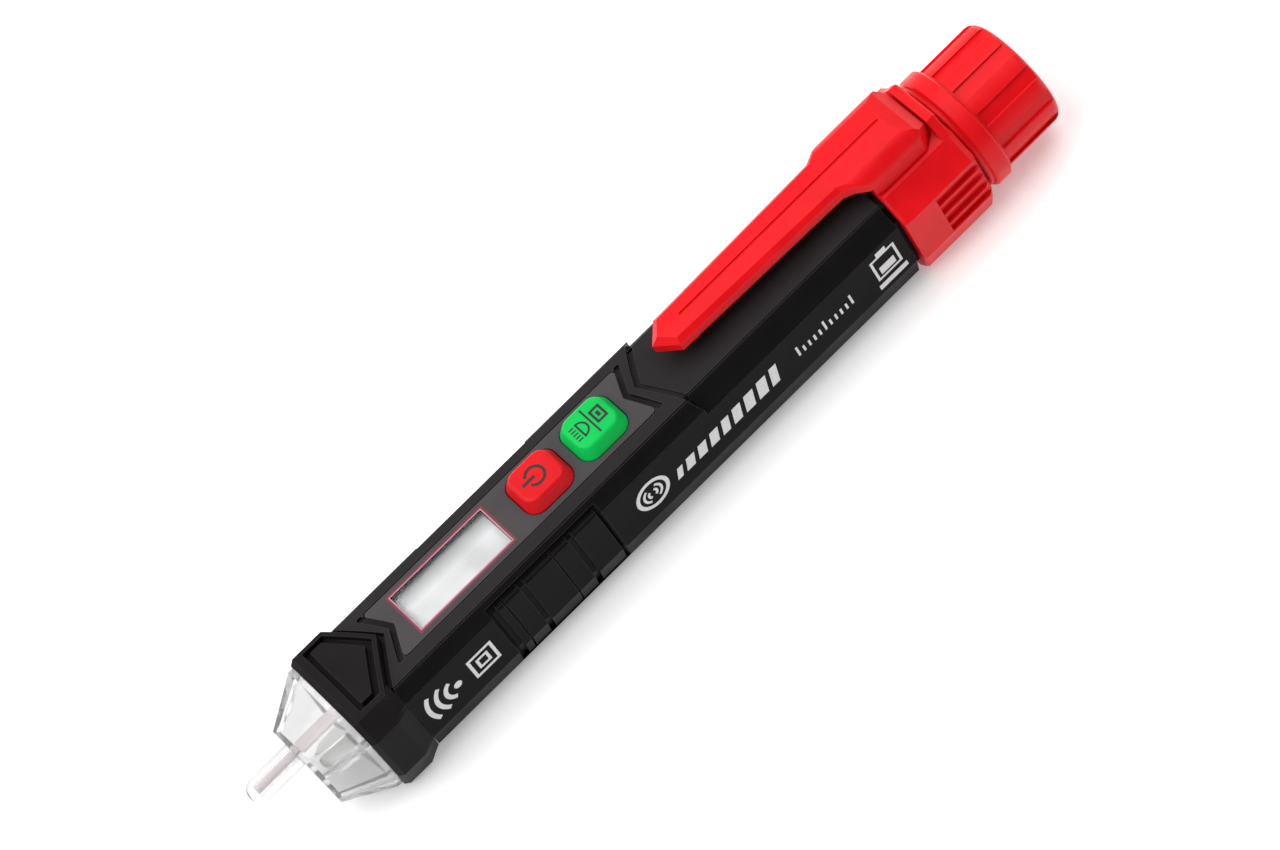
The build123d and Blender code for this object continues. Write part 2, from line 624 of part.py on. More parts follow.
# ---- tail end ----------------------------------------
def screw_ridge(start_x, radius, inward):
    """Right-hand helical thread ridge about the axis, rooted slightly into its wall."""
    sign = -1 if inward else 1
    root, crest, sink = THREAD_BASE
    helix = Helix(pitch=THREAD_PITCH, height=THREAD_LENGTH, radius=radius)
    foot, top = -sign * sink, sign * THREAD_DEPTH
    corners = [(foot, -root), (top, -crest), (top, crest), (foot, root)]
    start = helix @ 0
    plane = Plane(origin=start, x_dir=(start.X, start.Y, 0), z_dir=helix % 0)
    ridge = sweep(plane * make_face(Polyline(*corners, close=True)), path=helix, is_frenet=True)
    return Pos(start_x, 0, AXIS_Z) * Rot(0, 90, 0) * ridge


def rib_pockets():
    """The pockets in the collar's two sides that leave its finger ribs standing."""
    pockets = []
    x = (RIB_POCKET_X, END_X)
    for side in (-1, 1):
        y = on_side(side, RIB_POCKET_Y, CLEAR)
        pocket = block(x, y, RIB_POCKET_Z)
        for z in RIB_ZS:
            pocket = pocket - block(x, y, (z - RIB_HALF, z + RIB_HALF))
        pockets.append(pocket)
    return pockets


def make_collar():
    """Rear collar: octagonal sleeve, clip seat, raised rim, finger ribs and the threaded spigot."""
    front_chamfer, rear_length, rear_drop = COLLAR_CHAMFERS
    full_x = (COLLAR_FRONT_X + front_chamfer, COLLAR_REAR_X - rear_length)
    full = section_face(COLLAR_SECTION)
    collar = between(section_face(COLLAR_SECTION, front_chamfer), COLLAR_FRONT_X, full, full_x[0])
    collar = collar + prism(full, *full_x)
    collar = collar + between(full, full_x[1], section_face(COLLAR_SECTION, rear_drop), COLLAR_REAR_X)
    seat_front = block((COLLAR_FRONT_X - 1, CLIP_ROOT_X + 3), (-6.0, 6.0), (CLIP_SEAT_Z, CLEAR))
    collar = collar - plan(clip_root_plan(CLIP_SEAT_PLAY), CLIP_SEAT_Z, CLEAR) - seat_front
    rim = prism(make_face(Polyline(*mirrored_section(RIM_OUTLINE), close=True)), *RIM_X)
    collar = collar + chamfer(rim.faces().sort_by(Axis.X)[-1].edges(), RIM_CHAMFER)
    for pocket in rib_pockets():
        collar = collar - pocket
    bore = section_face(REAR_SECTION, REAR_NECK_INSET - FIT)
    collar = collar - prism(bore, COLLAR_FRONT_X - 1, NECK_REAR_X + FIT)
    spigot = disc(COLLAR_REAR_X - 1, SPIGOT_END_X, THREAD_ROOT_R)
    spigot = spigot + screw_ridge(THREAD_START_X, THREAD_ROOT_R, False)
    collar = collar + spigot - disc(COLLAR_FRONT_X, SPIGOT_END_X + 1, CELL_BORE_R)
    strap_y = (STRAP_Y[0] - 0.25, STRAP_Y[1] + 0.25)
    strap_half = STRAP_HALF + 2 * FIT
    collar = collar - block((COLLAR_FRONT_X, SPIGOT_END_X + 1), strap_y, (-strap_half, strap_half))
    return collar - tongue_block(3 * FIT, OPENING_Z, CLEAR)


def mirrored_section(points):
    """A closed section outline from its right-hand side, listed from the bottom up."""
    return points + [(-y, z) for y, z in reversed(points)]


def clip_root_plan(grow):
    """Plan outline of the clip's root block."""
    (side_x, half), (back_x, back_half) = CLIP_OUTLINE[-2:]
    points = [(CLIP_ROOT_X - grow, half + grow), (side_x, half + grow), (back_x + grow, back_half + grow)]
    return mirrored(points)


def clip_roof():
    """Prism under the clip's ridged top and the root block's rounded sides."""
    right = CLIP_ROOF_SIDE
    left = [(-y, z) for y, z in right]
    outline = [
        Polyline(left[0], (0, CLIP_RIDGE_Z), right[0]),
        ThreePointArc(*right),
        Polyline(right[2], (right[2][0], 0), (left[2][0], 0), left[2]),
        ThreePointArc(*reversed(left)),
    ]
    return prism(make_face(outline), 0, NECK_REAR_X)


def make_clip():
    """Pocket clip: pointed arm with a ridge, a long groove and a nib, on a tall root block with a tongue."""
    face = make_face(Polyline(*mirrored(CLIP_OUTLINE), close=True))
    blank = extrude(Pos(0, 0, AXIS_Z + CLIP_SEAT_Z) * face, amount=CLIP_TOP_Z - CLIP_SEAT_Z)
    clip = chamfer(blank.faces().sort_by(Axis.Z)[-1].edges(), CLIP_EDGE) & clip_roof()
    above = [(END_X, CLIP_BACK_SLOPE[-1][1]), (END_X, 18.0), (CLIP_BACK_SLOPE[0][0], 18.0)]
    clip = clip - profile([*CLIP_BACK_SLOPE, *above], CLEAR)
    clip = clip - profile([(0, 0), (0, CLIP_UNDER_Z), *CLIP_UNDER, (CLIP_UNDER[-1][0], 0)], CLEAR)
    clip = clip - plan(mirrored(CLIP_CHANNEL), CLIP_SEAT_Z, CLIP_CHANNEL_Z)
    x0, x1 = CLIP_GROOVE_X
    width, depth = CLIP_GROOVE
    groove = Pos((x0 + x1) / 2, 0, AXIS_Z + CLIP_RIDGE_Z - depth) * SlotOverall(x1 - x0, width)
    clip = clip - extrude(groove, amount=1)
    return clip + profile(NIB_OUTLINE, NIB_HALF) + tongue_block(0, TONGUE_BOTTOM_Z, CLIP_SEAT_Z + 1)


def make_cap():
    """Screw-off battery cap: flange ring, fluted knob and internal thread."""
    front, rear = RING_X
    ring_edge = RING_R - RING_CHAMFER
    side = Polyline(
        (LIP_X, 0), (LIP_X, LIP_R - LIP_CHAMFER), (LIP_X + LIP_CHAMFER, LIP_R), (front, LIP_R),
        (front, ring_edge), (front + RING_CHAMFER, RING_R), (rear - RING_CHAMFER, RING_R),
        (rear, ring_edge), (rear, KNOB_R), (END_X - KNOB_EDGE_R, KNOB_R),
    )
    nose_end = (END_X, KNOB_R - KNOB_EDGE_R)
    nose = RadiusArc((END_X - KNOB_EDGE_R, KNOB_R), nose_end, KNOB_EDGE_R)
    outline = [side, nose, Polyline(nose_end, (END_X, 0), (LIP_X, 0))]
    cap = Pos(0, 0, AXIS_Z) * revolve(Plane.XY * make_face(outline), Axis.X)
    length, width, depth = FLUTE
    for k in range(FLUTES):
        cutter = Pos(rear + RING_CHAMFER + length / 2, 0, KNOB_R - depth + 0.6) * Box(length, width, 1.2)
        cap = cap - Pos(0, 0, AXIS_Z) * Rot(360 / FLUTES * k + FLUTE_TURN, 0, 0) * cutter
    bore_r = THREAD_ROOT_R + THREAD_DEPTH + THREAD_PLAY
    cap = cap - disc(LIP_X - 1, SPIGOT_END_X + 1.0, bore_r) - disc(LIP_X, END_X - CAP_WALL, CAP_BORE_R)
    cap = cap - disc(LIP_X - 1, COLLAR_REAR_X + 1.0, CAP_MOUTH_R)
    return cap + screw_ridge(THREAD_START_X + THREAD_PITCH / 2, bore_r, True)


def make_cap_cup():
    """Stamped contact cup inside the cap."""
    rear_x = END_X - CAP_WALL - PANEL_FIT
    wall = tube(CUP_FRONT_X, rear_x, CUP_R, CUP_R - CUP_THICK)
    return wall + disc(rear_x - CONTACT_THICK, rear_x, CUP_R)


def make_spring():
    """Coil spring between the cap's cup and the rear cell."""
    helix = Helix(pitch=SPRING_LENGTH / SPRING_TURNS, height=SPRING_LENGTH, radius=SPRING_R)
    face = Plane(origin=helix @ 0, z_dir=helix % 0) * Circle(SPRING_WIRE_R)
    spring = Rot(0, 90, 0) * sweep(face, path=helix, is_frenet=True)
    return Pos(CELL_REAR_X + SPRING_WIRE_R + TOUCH, 0, AXIS_Z) * spring


def make_seal():
    """Seal between the collar and the cap's flange."""
    return Pos(COLLAR_REAR_X + 0.5, 0, AXIS_Z) * Rot(0, 90, 0) * Torus(SEAL_R, SEAL_WIRE_R)


# ---- power ----------------------------------------
def make_cell(x):
    """AAA cell with its positive nub towards the probe."""
    can = disc(x + CELL_NUB, x + CELL_LENGTH, CELL_R)
    can = chamfer(can.edges().filter_by(GeomType.CIRCLE), CELL_EDGE)
    return can + disc(x, x + CELL_NUB + FIT, CELL_NUB_R)


def make_cradle():
    """Open-topped cradle that carries the cells, with a front wall and two rails under it."""
    x0, x1 = CRADLE_X
    shell = tube(x0, x1, CRADLE_R, CELL_BORE_R) + disc(x0, x0 + 1.0, CRADLE_R)
    cradle = shell - block((x0 - 1, x1 + 1), (-CLEAR, CLEAR), (CRADLE_TOP_Z, CLEAR))
    for side in (-1, 1):
        rail = block((x0, RAIL_END_X), on_side(side, *RAIL_Y), RAIL_Z)
        cradle = cradle + (rail - disc(x0 - 1, x1, CRADLE_R - 3 * FIT))
    return cradle


def make_front_contact():
    """Positive contact plate with a tab up to the board."""
    x = (CELL_FRONT_X - CONTACT_THICK, CELL_FRONT_X)
    return disc(*x, CONTACT_R) + block(x, (-CONTACT_TAB_HALF, CONTACT_TAB_HALF), (0, PCB_BOTTOM))


def make_strap():
    """Negative strap from the tail contact ring, along the housing wall, to the board."""
    top = PCB_TOP + STRAP_THICK
    strap = block((STRAP_X[0], TAIL_RING_X[0]), STRAP_Y, (-STRAP_HALF, STRAP_HALF))
    strap = strap + block(STRAP_X, STRAP_Y, (-STRAP_HALF, top))
    return strap + block(STRAP_X, (STRAP_TAB_Y, STRAP_Y[1]), (PCB_TOP, top))


def make_tail_ring():
    """Tail contact ring on the end of the spigot."""
    return tube(*TAIL_RING_X, *TAIL_RING_R)


# ---- electronics ----------------------------------------
def make_board():
    """Main circuit board."""
    board = block(PCB_X, (-PCB_HALF, PCB_HALF), (PCB_BOTTOM, PCB_TOP))
    for x in SCREW_XS:
        board = board - post(x, SCREW_HOLE_R, PCB_BOTTOM - 1, PCB_TOP + 1)
    return board


def make_board_screws():
    """Two pan-head self-tapping screws."""
    head_r, head_height = SCREW_HEAD
    long_half, short_half, floor_rise = SCREW_CROSS
    screws = []
    for x in SCREW_XS:
        head = post(x, head_r, PCB_TOP, PCB_TOP + head_height)
        head = head - centred(x, long_half, short_half, PCB_TOP + floor_rise, CLEAR)
        head = head - centred(x, short_half, long_half, PCB_TOP + floor_rise, CLEAR)
        screws.append(head + post(x, SCREW_R, SCREW_TIP_Z, PCB_TOP + FIT))
    return Compound(children=screws)


def make_board_parts():
    """Small surface-mount parts on the board's upper side."""
    half_x, half_y, height = CHIP
    chips = []
    for x in CHIP_XS:
        for y in CHIP_YS:
            chip_y = (y - half_y, y + half_y)
            chips.append(block((x - half_x, x + half_x), chip_y, (PCB_TOP, PCB_TOP + height)))
    return Compound(children=chips)


def make_alarm_leds():
    """Red and green alarm LEDs on the board's front edge."""
    half, height = ALARM_LED
    leds = [block(ALARM_LED_X, (y - half, y + half), (PCB_TOP, PCB_TOP + height)) for y in ALARM_LED_YS]
    return Compound(children=leds)


def export_all():
    """Builds and writes every node."""
    os.makedirs("parts", exist_ok=True)
    outer, cavity = housing_outer(), housing_cavity()
    keep(make_tub(outer, cavity), "lower_housing")
    keep(make_cover(outer, cavity), "upper_housing")
    keep(make_panel(), "face_panel")
    keep(make_window(), "lcd_window")
    keep(make_display_layer(GLASS_SIZE, GLASS_Z), "lcd_glass")
    keep(make_display_layer(BACKLIGHT_SIZE, BACKLIGHT_Z), "lcd_backlight")
    for name, x in BUTTON_XS.items():
        keep(make_keycap(x), f"{name}_button")
        keep(make_switch(x), f"{name}_switch")
        keep(make_plunger(x), f"{name}_switch_plunger")
    keep(make_bezel(), "front_bezel")
    keep(make_lens(), "probe_lens")
    keep(make_reflector(), "lens_reflector")
    keep(make_antenna(), "sensor_antenna")
    keep(make_torch(), "torch_led")
    keep(make_torch_legs(), "torch_led_legs")
    keep(make_collar(), "clip_collar")
    keep(make_clip(), "pocket_clip")
    keep(make_cap(), "battery_cap")
    keep(make_cap_cup(), "cap_contact_cup")
    keep(make_spring(), "cap_spring")
    keep(make_seal(), "cap_seal")
    keep(make_cell(CELL_FRONT_X), "front_cell")
    keep(make_cell(CELL_FRONT_X + CELL_LENGTH), "rear_cell")
    keep(make_cradle(), "battery_cradle")
    keep(make_front_contact(), "front_contact")
    keep(make_strap(), "battery_strap")
    keep(make_tail_ring(), "tail_contact_ring")
    keep(make_board(), "main_board")
    keep(make_board_screws(), "board_screws")
    keep(make_board_parts(), "board_parts")
    keep(make_alarm_leds(), "alarm_leds")


export_all()
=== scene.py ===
"""Looks of the non-contact voltage tester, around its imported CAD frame.

Lengths are in metres, in the row frame, apart from the outlines of printed marks, which are in millimetres.
"""

from math import cos, radians, sin, sqrt

import bmesh
import bpy
from mathutils import Matrix, Vector

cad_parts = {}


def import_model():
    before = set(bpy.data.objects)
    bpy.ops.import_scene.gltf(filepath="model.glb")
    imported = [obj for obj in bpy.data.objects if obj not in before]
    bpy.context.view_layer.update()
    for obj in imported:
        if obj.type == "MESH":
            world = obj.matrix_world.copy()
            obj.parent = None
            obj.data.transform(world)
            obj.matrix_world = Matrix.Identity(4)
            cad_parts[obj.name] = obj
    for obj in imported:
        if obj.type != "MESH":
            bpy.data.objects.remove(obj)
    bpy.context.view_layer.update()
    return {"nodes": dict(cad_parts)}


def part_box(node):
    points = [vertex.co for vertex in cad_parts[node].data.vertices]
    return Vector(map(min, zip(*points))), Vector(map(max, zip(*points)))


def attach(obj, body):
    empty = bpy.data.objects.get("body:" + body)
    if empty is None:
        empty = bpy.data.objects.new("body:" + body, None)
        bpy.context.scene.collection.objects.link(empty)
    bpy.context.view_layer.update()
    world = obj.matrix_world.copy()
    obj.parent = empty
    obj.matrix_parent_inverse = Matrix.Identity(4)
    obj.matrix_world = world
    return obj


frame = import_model()
nodes = frame["nodes"]

MM = 0.001
AXIS_Z = (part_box("front_cell")[0][2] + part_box("front_cell")[1][2]) / 2
SIDE_WALL_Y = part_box("lower_housing")[0][1]
FACE_TOP_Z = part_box("face_panel")[1][2]
CROWN_RADIUS = 28.5 * MM  # the display face is slightly crowned across

INK = 0.03 * MM  # thickness of a printed mark
EDGE_ROUNDING = 0.12 * MM
CLEAR_EDGE_ROUNDING = 0.18 * MM
# reach of the lighter edge colour, which is edge wear with a painted highlight
WEAR_AND_SHEEN_REACH = 0.16 * MM
BEVEL_SAMPLES = 4

# the second colour of each pair below lightens the plastic's edges: edge wear with a painted highlight
RED = (0.7, 0.004, 0.008)
WORN_AND_SHEEN_RED = (1.0, 0.03, 0.03)
RED_KEY = (0.62, 0.006, 0.01)
WORN_AND_SHEEN_RED_KEY = (0.85, 0.04, 0.04)
GREEN = (0.0, 0.47, 0.075)
WORN_AND_SHEEN_GREEN = (0.05, 0.7, 0.15)
FOIL = (0.03, 0.034, 0.045)
COPPER = (0.6, 0.27, 0.1)
STEEL = (0.6, 0.6, 0.58)


# ---- shader helpers -------------------------------------------------------------------------------
def shader(name, color, roughness, **sockets):
    """New material with a Principled shader; returns (material, node tree, shader node)."""
    material = bpy.data.materials.new(name)
    material.use_nodes = True
    tree = material.node_tree
    bsdf = tree.nodes["Principled BSDF"]
    bsdf.inputs["Base Color"].default_value = (*color, 1)
    bsdf.inputs["Roughness"].default_value = roughness
    for key, value in sockets.items():
        bsdf.inputs[key.replace("_", " ")].default_value = value
    return material, tree, bsdf


def noise(tree, scale, detail=2.0, rough=0.5, stretch=(1, 1, 1)):
    """Noise texture in object space; a small stretch value draws it out along that axis."""
    coords = tree.nodes.new("ShaderNodeTexCoord")
    mapping = tree.nodes.new("ShaderNodeMapping")
    mapping.inputs["Scale"].default_value = stretch
    node = tree.nodes.new("ShaderNodeTexNoise")
    node.inputs["Scale"].default_value = scale
    node.inputs["Detail"].default_value = detail
    node.inputs["Roughness"].default_value = rough
    tree.links.new(coords.outputs["Object"], mapping.inputs["Vector"])
    tree.links.new(mapping.outputs["Vector"], node.inputs["Vector"])
    return node.outputs["Fac"]


def place_along(tree, axis):
    """A point's own X, Y or Z in object space."""
    coords = tree.nodes.new("ShaderNodeTexCoord")
    split = tree.nodes.new("ShaderNodeSeparateXYZ")
    tree.links.new(coords.outputs["Object"], split.inputs["Vector"])
    return split.outputs[axis]


def remap(tree, value, low, high, new_low, new_high):
    """Maps a value from one range to another, clamped."""
    node = tree.nodes.new("ShaderNodeMapRange")
    node.inputs["From Min"].default_value = low
    node.inputs["From Max"].default_value = high
    node.inputs["To Min"].default_value = new_low
    node.inputs["To Max"].default_value = new_high
    tree.links.new(value, node.inputs["Value"])
    return node.outputs["Result"]


def mix(tree, factor, color_a, color_b):
    """Mixes two colours, each a tuple or a socket."""
    node = tree.nodes.new("ShaderNodeMix")
    node.data_type = "RGBA"
    tree.links.new(factor, node.inputs["Factor"])
    for socket, color in ((node.inputs[6], color_a), (node.inputs[7], color_b)):
        if isinstance(color, tuple):
            socket.default_value = (*color, 1)
        else:
            tree.links.new(color, socket)
    return node.outputs[2]


def rounded_normal(tree, radius):
    """Normal of the surface with its edges rounded to a radius."""
    bevel = tree.nodes.new("ShaderNodeBevel")
    bevel.samples = BEVEL_SAMPLES
    bevel.inputs["Radius"].default_value = radius
    return bevel.outputs["Normal"]


def rounded_bump(tree, bsdf, height, distance, edge=EDGE_ROUNDING):
    """Fine surface relief, over edges that catch the light as if they were slightly rounded."""
    bump = tree.nodes.new("ShaderNodeBump")
    bump.inputs["Strength"].default_value = 1.0
    bump.inputs["Distance"].default_value = distance
    tree.links.new(height, bump.inputs["Height"])
    tree.links.new(rounded_normal(tree, edge), bump.inputs["Normal"])
    tree.links.new(bump.outputs["Normal"], bsdf.inputs["Normal"])


def worn_and_highlit_edges(tree, base, wear_and_sheen):
    """Base colour that turns lighter along sharp edges, where a rounded normal leaves the true one: edge
    wear with a painted highlight.
    """
    geometry = tree.nodes.new("ShaderNodeNewGeometry")
    agreement = tree.nodes.new("ShaderNodeVectorMath")
    agreement.operation = "DOT_PRODUCT"
    tree.links.new(geometry.outputs["Normal"], agreement.inputs[0])
    tree.links.new(rounded_normal(tree, WEAR_AND_SHEEN_REACH), agreement.inputs[1])
    factor = remap(tree, agreement.outputs["Value"], 0.8, 0.99, 1, 0)
    return mix(tree, factor, base, wear_and_sheen)


# ---- materials ------------------------------------------------------------------------------------
def moulded(name, color, roughness, grain, relief, wear_and_sheen=None, **sockets):
    """Moulded plastic: fine grain, slow change in gloss, and lighter edges that are edge wear with a painted
    highlight.
    """
    material, tree, bsdf = shader(name, color, roughness, **sockets)
    spread = 0.06
    slow = noise(tree, 180, 3.0)
    rough = remap(tree, slow, 0.3, 0.7, roughness - spread, roughness + spread)
    tree.links.new(rough, bsdf.inputs["Roughness"])
    lighter = tuple(c * 1.12 for c in color)
    tint = mix(tree, remap(tree, slow, 0.35, 0.65, 0, 1), color, lighter)
    # edges turned lighter: edge wear with a painted highlight
    if wear_and_sheen:
        tint = worn_and_highlit_edges(tree, tint, wear_and_sheen)
    tree.links.new(tint, bsdf.inputs["Base Color"])
    rounded_bump(tree, bsdf, noise(tree, grain, 3.0, 0.6), relief)
    return material


def clear_plastic(name, color, roughness, relief, ior, painted_edge_shade=None, clarity=1.0):
    """Clear moulded plastic, painted a darker grey where it is seen edge-on, as painted shade; relief adds
    flow lines.
    """
    material, tree, bsdf = shader(name, color, roughness, Transmission_Weight=clarity, IOR=ior)
    if painted_edge_shade:
        # painted shade: the base colour darkens to a grey where the surface is seen edge-on
        grazing = tree.nodes.new("ShaderNodeLayerWeight")
        grazing.inputs["Blend"].default_value = 0.5
        factor = remap(tree, grazing.outputs["Facing"], 0.35, 0.95, 0, 1)
        tree.links.new(mix(tree, factor, color, painted_edge_shade), bsdf.inputs["Base Color"])
    if relief:
        rounded_bump(tree, bsdf, noise(tree, 260), relief, edge=CLEAR_EDGE_ROUNDING)
    return material


def metal(name, color, roughness, stretch=(1, 1, 1)):
    """Metal with a fine grain, drawn out along an axis where the stretch is small."""
    material, tree, bsdf = shader(name, color, roughness, Metallic=1.0)
    grain = noise(tree, 2600, 3.0, stretch=stretch)
    rough = remap(tree, grain, 0.3, 0.7, roughness - 0.08, roughness + 0.1)
    tree.links.new(rough, bsdf.inputs["Roughness"])
    rounded_bump(tree, bsdf, grain, 0.004 * MM)
    return material


def ink(name, color):
    """Pad-printed ink, very slightly uneven."""
    material, tree, bsdf = shader(name, color, 0.5)
    speckle = noise(tree, 4200, 3.0, 0.7)
    thin = tuple(c * 0.86 for c in color)
    tree.links.new(mix(tree, remap(tree, speckle, 0.4, 0.6, 0, 1), thin, color), bsdf.inputs["Base Color"])
    return material


def lcd_material():
    """Display seen through its window: pale grey, darker along the far edge where the frame shades it."""
    far_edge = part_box("lcd_window")[1][1]
    pale, paler, shaded = (0.6, 0.605, 0.6), (0.75, 0.755, 0.75), (0.3, 0.305, 0.305)
    material, tree, bsdf = shader("lcd_surface", (0.66, 0.68, 0.67), 0.22)
    cloudy = mix(tree, remap(tree, noise(tree, 140, 1.0), 0.35, 0.65, 0, 1), pale, paler)
    shade = remap(tree, place_along(tree, "Y"), far_edge - 3.4 * MM, far_edge - 0.2 * MM, 0, 1)
    tree.links.new(mix(tree, shade, cloudy, shaded), bsdf.inputs["Base Color"])
    return material


def cell_material(name, node):
    """Cell in its foil sleeve: a copper-coloured band at the positive end, and bare steel at both ends."""
    front, rear = (corner[0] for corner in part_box(node))
    blur = 0.05 * MM
    material, tree, bsdf = shader(name, FOIL, 0.3, Metallic=0.85)
    x = place_along(tree, "X")
    band_end = front + 11 * MM
    nub_end = front + 1.9 * MM
    base_start = rear - 0.8 * MM
    color = mix(tree, remap(tree, x, band_end, band_end + blur, 1, 0), FOIL, COPPER)
    color = mix(tree, remap(tree, x, nub_end, nub_end + blur, 1, 0), color, STEEL)
    color = mix(tree, remap(tree, x, base_start, base_start + blur, 0, 1), color, STEEL)
    tree.links.new(color, bsdf.inputs["Base Color"])
    rounded_bump(tree, bsdf, noise(tree, 900, 3.0, 0.6), 0.004 * MM)
    return material


def black_plastic(name, color, wear_and_sheen, specular):
    """Fine-grained black plastic of the housing."""
    return moulded(name, color, 0.36, 5200, 0.012 * MM, wear_and_sheen, Specular_IOR_Level=specular)


# the colour after each plastic's base colour lightens its edges: edge wear with a painted highlight
MATERIALS = {
    # painted light and shade: the upper housing is painted a lighter black and the lower housing a darker
    # black, for light on the top and shade on the sides of one black plastic
    "tub": black_plastic("black_tub_painted_shade", (0.0075, 0.0068, 0.0072), (0.06, 0.055, 0.057), 0.03),
    "cover": black_plastic("black_cover_painted_light", (0.021, 0.019, 0.02), (0.075, 0.07, 0.072), 0.05),
    "shell": black_plastic("black_shell", (0.0125, 0.0112, 0.012), (0.06, 0.055, 0.057), 0.03),
    "panel": moulded(
        "panel_grey", (0.058, 0.053, 0.055), 0.45, 4200, 0.008 * MM, (0.09, 0.085, 0.087),
        Specular_IOR_Level=0.08,
    ),
    "red": moulded("red_plastic", RED, 0.36, 2400, 0.004 * MM, WORN_AND_SHEEN_RED, Specular_IOR_Level=0.18),
    "red_key": moulded("red_key", RED_KEY, 0.38, 3600, 0.005 * MM, WORN_AND_SHEEN_RED_KEY, Specular_IOR_Level=0.15),
    "green_key": moulded("green_key", GREEN, 0.38, 3600, 0.005 * MM, WORN_AND_SHEEN_GREEN, Specular_IOR_Level=0.15),
    "clear": clear_plastic(
        "clear_plastic", (0.9, 0.9, 0.905), 0.09, 0.02 * MM, 1.38, painted_edge_shade=(0.42, 0.41, 0.42), clarity=0.86
    ),
    "window": clear_plastic("window_plastic", (0.98, 0.985, 0.99), 0.02, 0, 1.12),
    "white": moulded("white_plastic", (0.78, 0.78, 0.76), 0.4, 3000, 0.006 * MM),
    "component": moulded("component_black", (0.02, 0.02, 0.02), 0.45, 4000, 0.01 * MM),
    "board": moulded("solder_mask", (0.01, 0.11, 0.04), 0.25, 1800, 0.01 * MM),
    "rubber": moulded("seal_rubber", (0.012, 0.012, 0.012), 0.6, 5000, 0.01 * MM),
    "front_cell": cell_material("front_cell_foil", "front_cell"),
    "rear_cell": cell_material("rear_cell_foil", "rear_cell"),
    "steel": metal("plated_steel", (0.66, 0.66, 0.64), 0.28),
    "antenna": metal("antenna_metal", (0.72, 0.62, 0.62), 0.45, (0.05, 1, 1)),
    "epoxy": clear_plastic("led_epoxy", (0.97, 0.97, 0.93), 0.05, 0.003 * MM, 1.4),
    "lcd": lcd_material(),
    "ink_white": ink("ink_white", (0.75, 0.75, 0.75)),
    "ink_dark": ink("ink_dark", (0.006, 0.005, 0.005)),
    "ink_crimson": ink("ink_crimson", (0.16, 0.014, 0.03)),
    "ink_pink": ink("ink_pink", (0.5, 0.2, 0.26)),
}

NODE_LOOKS = {
    "lower_housing": "tub", "upper_housing": "cover", "front_bezel": "shell", "face_panel": "panel",
    "lcd_window": "window", "lcd_glass": "lcd", "lcd_backlight": "white",
    "power_button": "red_key", "mode_button": "green_key",
    "power_switch": "component", "mode_switch": "component",
    "power_switch_plunger": "white", "mode_switch_plunger": "white",
    "probe_lens": "clear", "lens_reflector": "white", "sensor_antenna": "antenna",
    "torch_led": "epoxy", "torch_led_legs": "steel",
    "clip_collar": "red", "pocket_clip": "red", "battery_cap": "red",
    "cap_contact_cup": "steel", "cap_spring": "steel", "cap_seal": "rubber",
    "front_cell": "front_cell", "rear_cell": "rear_cell", "battery_cradle": "component",
    "front_contact": "steel", "battery_strap": "steel", "tail_contact_ring": "steel",
    "main_board": "board", "board_screws": "steel", "board_parts": "component", "alarm_leds": "epoxy",
}


def dress(node, look):
    """Gives a CAD node its material."""
    piece = nodes[node]
    if not piece.material_slots:
        piece.data.materials.append(MATERIALS[look])
    for material_slot in piece.material_slots:
        material_slot.material = MATERIALS[look]


for node_name, look_name in NODE_LOOKS.items():
    dress(node_name, look_name)


# ---- printed marks: outlines in millimetres -----------------------------------------------------------
def rectangle(x0, x1, y0, y1, lean=0.0):
    """Outline of a rectangle; lean shifts its top edge along x."""
    return [(x0, y0), (x1, y0), (x1 + lean, y1), (x0 + lean, y1)]


def arc_band(centre, inner, outer, start, end, steps=28):
    """Outline of a ring sector; angles are in degrees."""
    angles = [radians(start + (end - start) * i / steps) for i in range(steps + 1)]
    out = [(centre[0] + outer * cos(a), centre[1] + outer * sin(a)) for a in angles]
    back = [(centre[0] + inner * cos(a), centre[1] + inner * sin(a)) for a in reversed(angles)]
    return out + back


def frame_bands(x0, x1, y0, y1, width):
    """Four bars that make a rectangular frame."""
    return [
        rectangle(x0, x1, y0, y0 + width),
        rectangle(x0, x1, y1 - width, y1),
        rectangle(x0, x0 + width, y0 + width, y1 - width),
        rectangle(x1 - width, x1, y0 + width, y1 - width),
    ]


def print_mark(name, outlines, place, look, body):
    """Thin raised print from closed outlines; place turns (u, v, height) into a point of the row frame."""
    mesh = bpy.data.meshes.new(name)
    shape = bmesh.new()
    for outline in outlines:
        lower = [shape.verts.new(place(u * MM, v * MM, -INK)) for u, v in outline]
        upper = [shape.verts.new(place(u * MM, v * MM, INK)) for u, v in outline]
        shape.faces.new(upper)
        shape.faces.new(list(reversed(lower)))
        for i in range(len(outline)):
            j = (i + 1) % len(outline)
            shape.faces.new((lower[i], lower[j], upper[j], upper[i]))
    bmesh.ops.recalc_face_normals(shape, faces=shape.faces)
    bmesh.ops.triangulate(shape, faces=shape.faces)
    shape.to_mesh(mesh)
    shape.free()
    mesh.materials.append(MATERIALS[look])
    piece = bpy.data.objects.new(name, mesh)
    bpy.context.scene.collection.objects.link(piece)
    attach(piece, body)


def on_key(node):
    """Places marks on a key's flat top; u runs to the battery end and v to the +Y side."""
    low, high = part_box(node)
    centre = ((low[0] + high[0]) / 2, (low[1] + high[1]) / 2)

    def place(u, v, height):
        return (centre[0] + u, centre[1] + v, high[2] + height)

    return place


def on_side(u, v, height):
    """Places marks on the -Y side wall; u runs to the battery end and v up from the tester's axis."""
    return (u, SIDE_WALL_Y - height, AXIS_Z + v)


